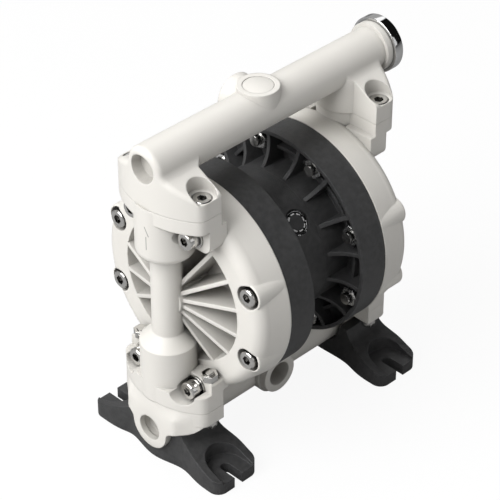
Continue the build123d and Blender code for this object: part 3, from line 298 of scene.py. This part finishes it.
def turned(name, profile, material):
    """A solid of revolution about the vertical axis, from radius and height pairs."""
    mesh = bpy.data.meshes.new(name)
    work = bmesh.new()
    points = [work.verts.new((radius, 0.0, height)) for radius, height in profile]
    edges = [work.edges.new(pair) for pair in zip(points, points[1:])]
    bmesh.ops.spin(work, geom=points + edges, cent=(0, 0, 0), axis=(0, 0, 1),
                   angle=2 * math.pi, steps=96, use_merge=True)
    bmesh.ops.remove_doubles(work, verts=work.verts[:], dist=0.000001)
    bmesh.ops.recalc_face_normals(work, faces=work.faces[:])
    for face in work.faces:
        face.smooth = True
    work.to_mesh(mesh)
    work.free()
    piece = bpy.data.objects.new(name, mesh)
    bpy.context.scene.collection.objects.link(piece)
    mesh.materials.append(material)
    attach(piece, "pump")


cap_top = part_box("discharge_manifold")[1][2] - CAP_SUNK
cap_bottom = cap_top - CAP_THICKNESS
turned("boss_cap", [(0.0, cap_bottom), (CAP_RADIUS, cap_bottom), (CAP_RADIUS, cap_top - CAP_EDGE),
                    (CAP_RADIUS - CAP_EDGE * 0.3, cap_top - CAP_EDGE * 0.3),
                    (CAP_RADIUS - CAP_EDGE, cap_top), (0.0, cap_top)], white_moulding)

# Cheeks of the suction manifold: below each flange the wall of the moulding runs on, flush
# with the flange, down round the blind recess of the elbow. They are part of the moulding.
ELBOW_HEIGHT, ELBOW_COVER, ELBOW_FACE, ELBOW_EDGE = 0.0265, 0.0161, 0.10515, 0.0014
FLANGE_END, FLANGE_RADIUS, FLANGE_FOOT, FLANGE_SEAM = 0.1044, 0.0612, 0.0408, 0.0518
FLARE_SIDE, FLARE_STEP, FLARE_END = 0.0228, 0.00375, 0.0352
RIM_END, RIM_FADE, SEAM_FADE = 0.026, 0.011, 0.010
RECESS_RADIUS, RECESS_STEPS = 0.0096, 48
CHEEK_PROUD, CHEEK_SUNK = 0.00003, 0.0003
SINK_SIDE, SINK_SIDE_FADE, SINK_TOP, SINK_TOP_FADE = 0.0310, 0.0035, 0.0490, 0.0022
SINK_FOOT, SINK_FOOT_FADE = 0.0400, 0.0015
CHEEK_DEPTH, CHEEK_ROOT, FOOT_CREST = 0.0045, 0.010, 0.0306
CHEEK_SIDE = [(0.0167, 0.0283), (0.0183, 0.0299), (0.0212, 0.0312), (0.0255, 0.0321),
              (0.0300, 0.0331), (0.0335, 0.0351), (0.0365, 0.0380), (0.0385, FLANGE_FOOT),
              (FLARE_END, FLANGE_FOOT), (FLARE_END, FLANGE_SEAM)]
CUT_STEP, CUTS_ASIDE, CUTS_UP, LOWEST_CUT = 0.0022, 17, 18, 0.0115


def cheek_outline():
    """Front view of a cheek, as Y and Z: round below the recess, then out to the flange."""
    turns = [math.radians(5 * step) for step in range(18)]
    right = [(ELBOW_COVER * math.sin(turn), ELBOW_HEIGHT - ELBOW_COVER * math.cos(turn))
             for turn in turns] + CHEEK_SIDE
    return right + [(-across, height) for across, height in reversed(right[1:])]


def recess_outline():
    """The round blind recess of a cheek, as Y and Z."""
    turns = [2 * math.pi * step / RECESS_STEPS for step in range(RECESS_STEPS)]
    return [(RECESS_RADIUS * math.cos(turn), ELBOW_HEIGHT + RECESS_RADIUS * math.sin(turn))
            for turn in turns]


def ease(value):
    """Smooth step from 0 to 1."""
    value = min(max(value, 0.0), 1.0)
    return value * value * (3 - 2 * value)


def cheek_front(across, height):
    """X of the front of a cheek: the flange wall, swollen over the elbow inside it.
    Beside and above the elbow its border sinks into the wall, so that no step shows."""
    wall = FLANGE_END - FLANGE_RADIUS + math.sqrt(FLANGE_RADIUS ** 2 - across ** 2) + CHEEK_PROUD
    side = abs(across)
    if side > FLARE_SIDE:
        swell = FLARE_STEP * (max(FLARE_END - side, 0.0) / (FLARE_END - FLARE_SIDE)) ** 2
    else:
        swell = max(ELBOW_FACE - ELBOW_EDGE - wall, 0.0)
    lift = swell * ease((FLANGE_SEAM - height) / SEAM_FADE)
    reach = math.hypot(across, height - ELBOW_HEIGHT)
    rim = max(ELBOW_FACE - wall - lift, 0.0) * ease((RIM_END - reach) / RIM_FADE)
    edge = max(ease((side - SINK_SIDE) / SINK_SIDE_FADE),
               ease((height - SINK_TOP) / SINK_TOP_FADE))
    sink = CHEEK_SUNK * edge * ease((height - SINK_FOOT) / SINK_FOOT_FADE)
    return wall + lift + rim - sink


def cheek(name, end):
    """One cheek: its front view is filled, thickened and then bent to the flange wall."""
    mesh = bpy.data.meshes.new(name)
    work = bmesh.new()
    edges = []
    for ring in (cheek_outline(), recess_outline()):
        points = [work.verts.new((0.0, across, height)) for across, height in ring]
        edges += [work.edges.new(pair) for pair in zip(points, points[1:] + points[:1])]
    bmesh.ops.triangle_fill(work, edges=edges, use_beauty=True)
    cuts = [((0, step * CUT_STEP, 0), (0, 1, 0)) for step in range(-CUTS_ASIDE, CUTS_ASIDE + 1)]
    cuts += [((0, 0, LOWEST_CUT + step * CUT_STEP), (0, 0, 1)) for step in range(CUTS_UP)]
    for place, across_it in cuts:
        bmesh.ops.bisect_plane(work, geom=work.verts[:] + work.edges[:] + work.faces[:],
                               plane_co=place, plane_no=across_it)
    front = work.verts[:]
    lifted = bmesh.ops.extrude_face_region(work, geom=work.faces[:])
    back = [part for part in lifted["geom"] if isinstance(part, bmesh.types.BMVert)]
    for point in front:
        point.co.x = end * cheek_front(point.co.y, point.co.z)
    for point in back:
        depth = CHEEK_DEPTH + (CHEEK_ROOT if point.co.z > FOOT_CREST else 0.0)
        point.co.x = end * (cheek_front(point.co.y, point.co.z) - depth)
    bmesh.ops.recalc_face_normals(work, faces=work.faces[:])
    work.to_mesh(mesh)
    work.free()
    piece = bpy.data.objects.new(name, mesh)
    bpy.context.scene.collection.objects.link(piece)
    mesh.materials.append(white_moulding)
    mesh.shade_smooth()
    mesh.set_sharp_from_angle(angle=math.radians(40))
    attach(piece, "pump")


cheek("suction_cheek_left", -1)
cheek("suction_cheek_right", 1)

# Black glass filled plastic: air covers, centre block and feet. They have a fine matt
# texture from the mould and look charcoal where the light falls on them.
BLACK, BLACK_SHADE = (0.056, 0.056, 0.057, 1.0), (0.040, 0.040, 0.041, 1.0)


def black_plastic(name, round_edge):
    """The finish of all black mouldings."""
    return plastic(name, BLACK, BLACK_SHADE, 0.50, 0.08, 1300.0, 0.00022, mottle=260.0,
                   round_edge=round_edge)


dress(starting("air_cover", "centre_block", "foot_left", "foot_right"),
      black_plastic("black_moulding", 0.0008))

# Valve plug: the same black plastic, with painted light: eight bright dashes round the rim of
# its crown are painted highlights, and a near-black land outside the rim, down to the retaining
# ring, is a painted dark reflection. It faces front and up.
PLUG_HEIGHT, RIM_INNER, RIM_OUTER, HIGHLIGHT_DASHES, DASH_SHARE = 0.129, 0.0057, 0.0066, 8.0, -0.45
DARK_REFLECTION_TONE, PAINTED_HIGHLIGHT_TONE = (0.003, 0.003, 0.003, 1.0), (0.70, 0.70, 0.70, 1.0)


def plug_light_group():
    """Masks of the plug's painted light: highlight dashes on the crown's rim, and the dark
    reflection outside the rim.
    """
    group, leave = mask_group("plug_painted_light", (), ("Painted Highlights", "Painted Dark Reflection"))
    axes = object_axes(group)
    above = result_of(group, "SUBTRACT", axes["Z"], PLUG_HEIGHT)
    slope = result_of(group, "MULTIPLY", result_of(group, "ADD", axes["Y"], above), math.sqrt(0.5))
    reach = distance_of(group, axes["X"], slope)
    turn = result_of(group, "ARCTAN2", slope, axes["X"])
    wave = result_of(group, "COSINE", result_of(group, "MULTIPLY", turn, HIGHLIGHT_DASHES))
    outside = result_of(group, "GREATER_THAN", reach, RIM_INNER)
    dark_reflection_mask = result_of(group, "GREATER_THAN", reach, RIM_OUTER)
    rim = result_of(group, "SUBTRACT", outside, dark_reflection_mask)
    highlight_mask = result_of(group, "MULTIPLY", rim, result_of(group, "GREATER_THAN", wave, DASH_SHARE))
    group.links.new(highlight_mask, leave.inputs["Painted Highlights"])
    group.links.new(outside, leave.inputs["Painted Dark Reflection"])
    return group


plug_moulding = black_plastic("plug_moulding", 0.0004)
tree = plug_moulding.node_tree
rings = place_group(tree, plug_light_group())
# Painted light: a near-black painted reflection on the land, then bright painted highlights on the
# rim.
paint_over(tree, rings.outputs["Painted Dark Reflection"], DARK_REFLECTION_TONE)
paint_over(tree, rings.outputs["Painted Highlights"], PAINTED_HIGHLIGHT_TONE)
dress(["valve_plug"], plug_moulding)

# Stainless hardware: cover bolts with their washers, flange bolts and nuts, foot and tie
# screws, and the shaft. Bare steel, with painted shade darkening its sockets and gaps.
def marks_group():
    """Faint machined marks of bare metal."""
    group, leave = mask_group("machined_marks", (("Scale", 400.0),), ("Shade",))
    entry = group.nodes.new("NodeGroupInput")
    place = group.nodes.new("ShaderNodeTexCoord")
    marks = group.nodes.new("ShaderNodeTexNoise")
    marks.inputs["Detail"].default_value = 4.0
    group.links.new(place.outputs["Object"], marks.inputs["Vector"])
    group.links.new(entry.outputs["Scale"], marks.inputs["Scale"])
    group.links.new(marks.outputs["Fac"], leave.inputs["Shade"])
    return group


MACHINED_MARKS = marks_group()


def metal(name, colour, roughness, spread, scratch, darkest=0.08):
    """Bare metal with a faint machined variation of its tone and gloss, and painted shade in its
    sockets and gaps, down to darkest.
    """
    material = bpy.data.materials.new(name)
    material.use_nodes = True
    tree = material.node_tree
    shader = tree.nodes["Principled BSDF"]
    shader.inputs["Metallic"].default_value = 1.0
    marks = place_group(tree, MACHINED_MARKS, Scale=scratch).outputs["Shade"]
    dull = tuple(part * 0.85 for part in colour[:3]) + (1.0,)
    tones = tone_ramp(tree, marks, dull, colour, 0.3, 0.7)
    # Painted shade: the tone darkened in sockets and gaps by occlusion.
    tones = paint_hollow_shade(tree, tones, Reach=0.004, Closed=0.35, Open=0.85, Lowest=darkest)
    tree.links.new(tones, shader.inputs["Base Color"])
    vary_gloss(tree, marks, roughness, spread)
    return material


stainless = metal("stainless", (0.72, 0.71, 0.69, 1.0), 0.13, 0.04, 400.0)
dress(starting("cover_bolts", "cover_bolt_washers", "discharge_flange_bolts", "suction_flange",
               "foot_screws", "tie_screws", "diaphragm_shaft"), stainless, edge=0.0002, segments=2)

# Nuts and washers inside the air covers: bright plated steel, so they glint between the black
# ribs. Their painted shade in gaps goes no darker than 60 percent.
plated = metal("plated_steel", (0.95, 0.95, 0.94, 1.0), 0.27, 0.05, 500.0, darkest=0.60)
dress(starting("cover_nuts", "cover_nut_washers"), plated, edge=0.0004, segments=2)

# Port ring: a polished steel band pressed on the end of the discharge port so that a pipe
# thread can't split the plastic.
chrome = metal("chrome_band", (0.80, 0.80, 0.80, 1.0), 0.07, 0.02, 120.0)
dress(["port_ring"], chrome, edge=0.0004)

# Retaining ring of the valve plug: polished spring steel, so its flat mirrors the dark room
# and only its rounded rims catch the lights.
spring_steel = metal("spring_steel", (0.78, 0.78, 0.79, 1.0), 0.09, 0.02, 200.0)
dress(["valve_retaining_ring"], spring_steel, edge=0.0002, segments=2)

# Rubber: the two diaphragms and all seals. They are smooth black mouldings inside the pump,
# clamped between the hard pieces.
rubber = plastic("black_rubber", (0.022, 0.022, 0.023, 1.0), (0.017, 0.017, 0.018, 1.0),
                 0.6, 0.05, 900.0, 0.00002)
dress(starting("diaphragm_left", "diaphragm_right", "shaft_seal", "suction_seat_seal",
               "discharge_seat_seal", "valve_plug_seal"), rubber)

# Valve balls: glossy white plastic, loose in their cages.
ball_plastic = plastic("ball_plastic", (0.85, 0.85, 0.83, 1.0), (0.82, 0.82, 0.80, 1.0),
                       0.2, 0.03, 600.0, 0.000005)
dress(starting("suction_ball", "discharge_ball"), ball_plastic)

# Grey inner mouldings: the seats and cages of the balls, the bushes of the shaft, and the
# plates that clamp the diaphragms on it.
grey_plastic = plastic("grey_plastic", (0.40, 0.40, 0.39, 1.0), (0.36, 0.36, 0.35, 1.0),
                       0.45, 0.05, 900.0, 0.00002)
dress(["suction_seat_left", "suction_seat_right", "discharge_seat_left", "discharge_seat_right"]
      + starting("discharge_cage", "shaft_bush", "air_side_plate", "fluid_side_plate"),
      grey_plastic)

# Air valve: a turned spool in its sleeve, both of plain light metal.
valve_metal = metal("valve_metal", (0.56, 0.56, 0.57, 1.0), 0.3, 0.05, 200.0)
dress(["valve_sleeve", "valve_spool"], valve_metal)

# Muffler: porous dark plastic, screwed into the back of the centre block.
muffler_plastic = plastic("muffler_plastic", (0.16, 0.16, 0.165, 1.0), (0.10, 0.10, 0.105, 1.0),
                          0.75, 0.1, 1500.0, 0.0002, mottle=700.0)
dress(["muffler"], muffler_plastic, edge=0.0004)

# Studio floor: matt, and most of what the camera sees of it is an even white glow, so that
# the background is white and the pump's shadow still falls on it.
FLOOR_SIZE, FLOOR_TONE, FLOOR_GLOW, FLOOR_GLOW_SHARE = 6.0, (0.42, 0.42, 0.42, 1.0), 1.15, 0.8

floor_mesh = bpy.data.meshes.new("floor")
sheet = bmesh.new()
bmesh.ops.create_grid(sheet, x_segments=1, y_segments=1, size=FLOOR_SIZE)
sheet.to_mesh(floor_mesh)
sheet.free()
floor = bpy.data.objects.new("floor", floor_mesh)
bpy.context.scene.collection.objects.link(floor)
floor_paint = bpy.data.materials.new("floor_paint")
floor_paint.use_nodes = True
tree = floor_paint.node_tree
tree.nodes.remove(tree.nodes["Principled BSDF"])
matt = tree.nodes.new("ShaderNodeBsdfDiffuse")
matt.inputs["Color"].default_value = FLOOR_TONE
glow = tree.nodes.new("ShaderNodeEmission")
glow.inputs["Strength"].default_value = FLOOR_GLOW
seen = tree.nodes.new("ShaderNodeLightPath")
share = result_of(tree, "MULTIPLY", seen.outputs["Is Camera Ray"], FLOOR_GLOW_SHARE)
blend = tree.nodes.new("ShaderNodeMixShader")
tree.links.new(share, blend.inputs["Fac"])
tree.links.new(matt.outputs["BSDF"], blend.inputs[1])
tree.links.new(glow.outputs["Emission"], blend.inputs[2])
tree.links.new(blend.outputs["Shader"], tree.nodes["Material Output"].inputs["Surface"])
floor_mesh.materials.append(floor_paint)

# Studio room: an even dim white to the plastics. Polished metal sees a grey room with its
# dark side, up on the right of the camera, and three small bright panels.
GREY_ROOM, DARK_SIDE, BRIGHT_PANEL, PLASTIC_ROOM, CAMERA_ROOM = 0.42, 0.006, 1.3, 0.19, 1.0
DARK_WAY, DARK_EDGE, DARK_SOFTNESS = (0.568, -0.549, 0.61), 0.555, 0.02
PANEL_WAYS = ((0.568, 0.49, 0.65), (0.95, -0.25, 0.20), (-0.30, -0.93, 0.22))
PANEL_EDGE, PANEL_SOFTNESS = 0.985, 0.004

world = bpy.data.worlds.new("studio")
bpy.context.scene.world = world
world.use_nodes = True
tree = world.node_tree
tree.nodes.remove(tree.nodes["Background"])
seen = tree.nodes.new("ShaderNodeLightPath")
heading = tree.nodes.new("ShaderNodeTexCoord")


def backdrop(strength, colour=(1.0, 1.0, 1.0, 1.0)):
    """One even background of the room."""
    surface = tree.nodes.new("ShaderNodeBackground")
    surface.inputs["Color"].default_value = colour
    surface.inputs["Strength"].default_value = strength
    return surface.outputs["Background"]


def panel(direction, edge, softness):
    """Mask of a round part of the room; edge is the cosine of its half angle."""
    aim = tree.nodes.new("ShaderNodeVectorMath")
    aim.operation = "DOT_PRODUCT"
    aim.inputs[1].default_value = Vector(direction).normalized()
    tree.links.new(heading.outputs["Generated"], aim.inputs[0])
    fade = tree.nodes.new("ShaderNodeMapRange")
    fade.inputs["From Min"].default_value = edge - softness
    fade.inputs["From Max"].default_value = edge + softness
    tree.links.new(aim.outputs["Value"], fade.inputs["Value"])
    return fade.outputs["Result"]


def choose(mask, off, on):
    """Takes the second background where the mask is 1."""
    either = tree.nodes.new("ShaderNodeMixShader")
    tree.links.new(mask, either.inputs["Fac"])
    tree.links.new(off, either.inputs[1])
    tree.links.new(on, either.inputs[2])
    return either.outputs["Shader"]


room = choose(panel(DARK_WAY, DARK_EDGE, DARK_SOFTNESS),
              backdrop(GREY_ROOM, (1.0, 1.0, 0.99, 1.0)), backdrop(DARK_SIDE))
for way in PANEL_WAYS:
    room = choose(panel(way, PANEL_EDGE, PANEL_SOFTNESS), room, backdrop(BRIGHT_PANEL))
room = choose(seen.outputs["Is Glossy Ray"], backdrop(PLASTIC_ROOM), room)
room = choose(seen.outputs["Is Camera Ray"], room, backdrop(CAMERA_ROOM))
tree.links.new(room, tree.nodes["World Output"].inputs["Surface"])

# Lamps: a wide soft key light from the left, a weaker one from above and a faint one from
# the right, all aimed at the middle of the pump.
PUMP_MIDDLE = Vector((0.0, 0.0, 0.13))


def softbox(name, place, size, power):
    """A square studio light aimed at the pump."""
    light = bpy.data.lights.new(name, "AREA")
    light.shape = "SQUARE"
    light.size = size
    light.energy = power
    lamp = bpy.data.objects.new(name, light)
    lamp.location = place
    lamp.rotation_euler = (PUMP_MIDDLE - Vector(place)).to_track_quat("-Z", "Y").to_euler()
    bpy.context.scene.collection.objects.link(lamp)


softbox("key_light", (-1.55, 0.20, 1.50), 1.8, 50.0)
softbox("top_light", (0.2, 0.5, 1.9), 1.2, 9.0)
softbox("fill_light", (0.9, -1.6, 0.7), 1.0, 2.5)

# Camera: fitted to the photograph, down on the front left corner of the pump. The focal
# length comes from one in pixels of a frame 500 pixels wide.
AZIMUTH, ELEVATION = math.radians(-44.75), math.radians(36.24)
TARGET, DISTANCE = Vector((-0.00766, 0.0, 0.1278)), 1.5028
FOCAL_PIXELS, FRAME_PIXELS, SENSOR_WIDTH = 2187.0, 500.0, 36.0

back = Vector((math.sin(AZIMUTH) * math.cos(ELEVATION),
               -math.cos(AZIMUTH) * math.cos(ELEVATION), math.sin(ELEVATION)))
lens = bpy.data.cameras.new("camera")
lens.sensor_width = SENSOR_WIDTH
lens.lens = FOCAL_PIXELS / FRAME_PIXELS * SENSOR_WIDTH
lens.clip_end = 20.0
camera = bpy.data.objects.new("camera", lens)
camera.location = TARGET + back * DISTANCE
camera.rotation_euler = (-back).to_track_quat("-Z", "Y").to_euler()
bpy.context.scene.collection.objects.link(camera)
bpy.context.scene.camera = camera
bpy.context.scene.view_settings.view_transform = "Standard"
